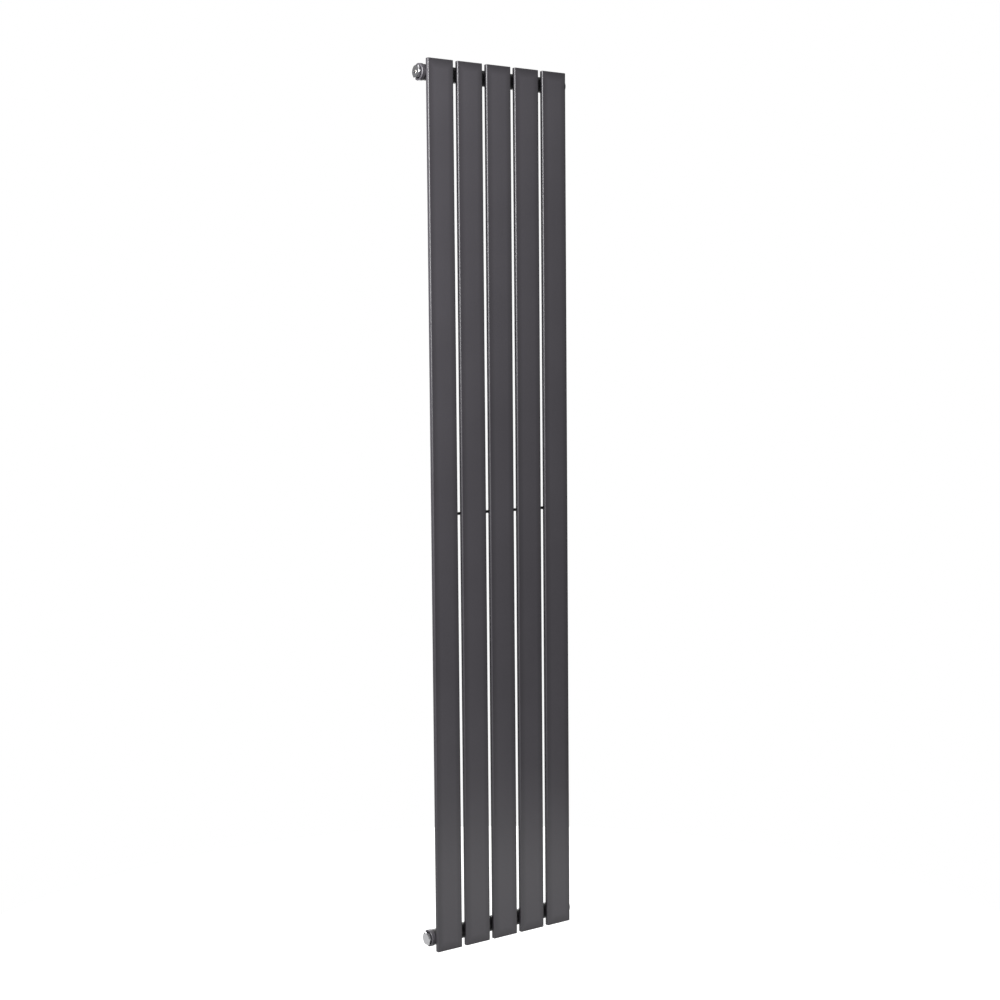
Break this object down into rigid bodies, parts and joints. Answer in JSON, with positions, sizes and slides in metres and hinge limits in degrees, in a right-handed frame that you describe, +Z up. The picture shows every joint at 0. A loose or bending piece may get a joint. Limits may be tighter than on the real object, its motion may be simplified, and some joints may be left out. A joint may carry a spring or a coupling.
{
  "type": "vertical flat panel radiator",
  "caption": "Tall wall-hung radiator of flat upright panels welded in front of two round headers, with threaded end ports, an air vent with a turning bleed screw, and a blanking plug.",
  "frame": {"origin": "centre of the four rear hanging bosses, in the plane of their faces", "axes": "+Z up along the panels, +X to the right for someone facing the radiator, +Y towards the wall, so the panels face -Y"},
  "size_m": [0.361, 0.054, 1.8],
  "materials": {
    "panel_coat": "satin anthracite powder coat",
    "cap_coat": "satin anthracite powder coat",
    "frame_coat": "satin anthracite powder coat",
    "bush_coat": "satin anthracite powder coat",
    "chrome_plate": "polished chrome on brass",
    "bleed_screw_plate": "turned, nickel plated",
    "ring_rubber": "matt black",
    "seal_plastic": "white PTFE"
  },
  "bodies": {
    "radiator": {"panel_1": "panel_coat", "panel_2": "panel_coat", "panel_3": "panel_coat", "panel_4": "panel_coat", "panel_5": "panel_coat", "panel_1_top_cap": "cap_coat", "panel_1_bottom_cap": "cap_coat", "panel_2_top_cap": "cap_coat", "panel_2_bottom_cap": "cap_coat", "panel_3_top_cap": "cap_coat", "panel_3_bottom_cap": "cap_coat", "panel_4_top_cap": "cap_coat", "panel_4_bottom_cap": "cap_coat", "panel_5_top_cap": "cap_coat", "panel_5_bottom_cap": "cap_coat", "top_header": "frame_coat", "bottom_header": "frame_coat", "top_left_bush": "bush_coat", "top_right_bush": "bush_coat", "bottom_left_bush": "bush_coat", "bottom_right_bush": "bush_coat", "top_left_hanging_boss": "bush_coat", "top_right_hanging_boss": "bush_coat", "bottom_left_hanging_boss": "bush_coat", "bottom_right_hanging_boss": "bush_coat", "brace_bar": "frame_coat", "air_vent": "chrome_plate", "air_vent_ring": "ring_rubber", "blanking_plug": "chrome_plate", "blanking_plug_ring": "ring_rubber"},
    "bleed_seal": {"bleed_seal": "seal_plastic"},
    "bleed_screw": {"bleed_screw": "bleed_screw_plate"}
  },
  "joints": [
    {"name": "bleed_screw_travel", "type": "slide", "parent": "radiator", "child": "bleed_seal", "axis": [-1, 0, 0], "range_m": [0, 0.0015]},
    {"name": "bleed_screw_turn", "type": "hinge", "parent": "bleed_seal", "child": "bleed_screw", "pos_m": [-0.1835, -0.028, 0.875], "axis": [-1, 0, 0], "range_deg": [0, 540]}
  ],
  "couplings": [
    {"joint": "bleed_screw_turn", "follows": "bleed_screw_travel", "rad_per_m": 6283.2}
  ]
}
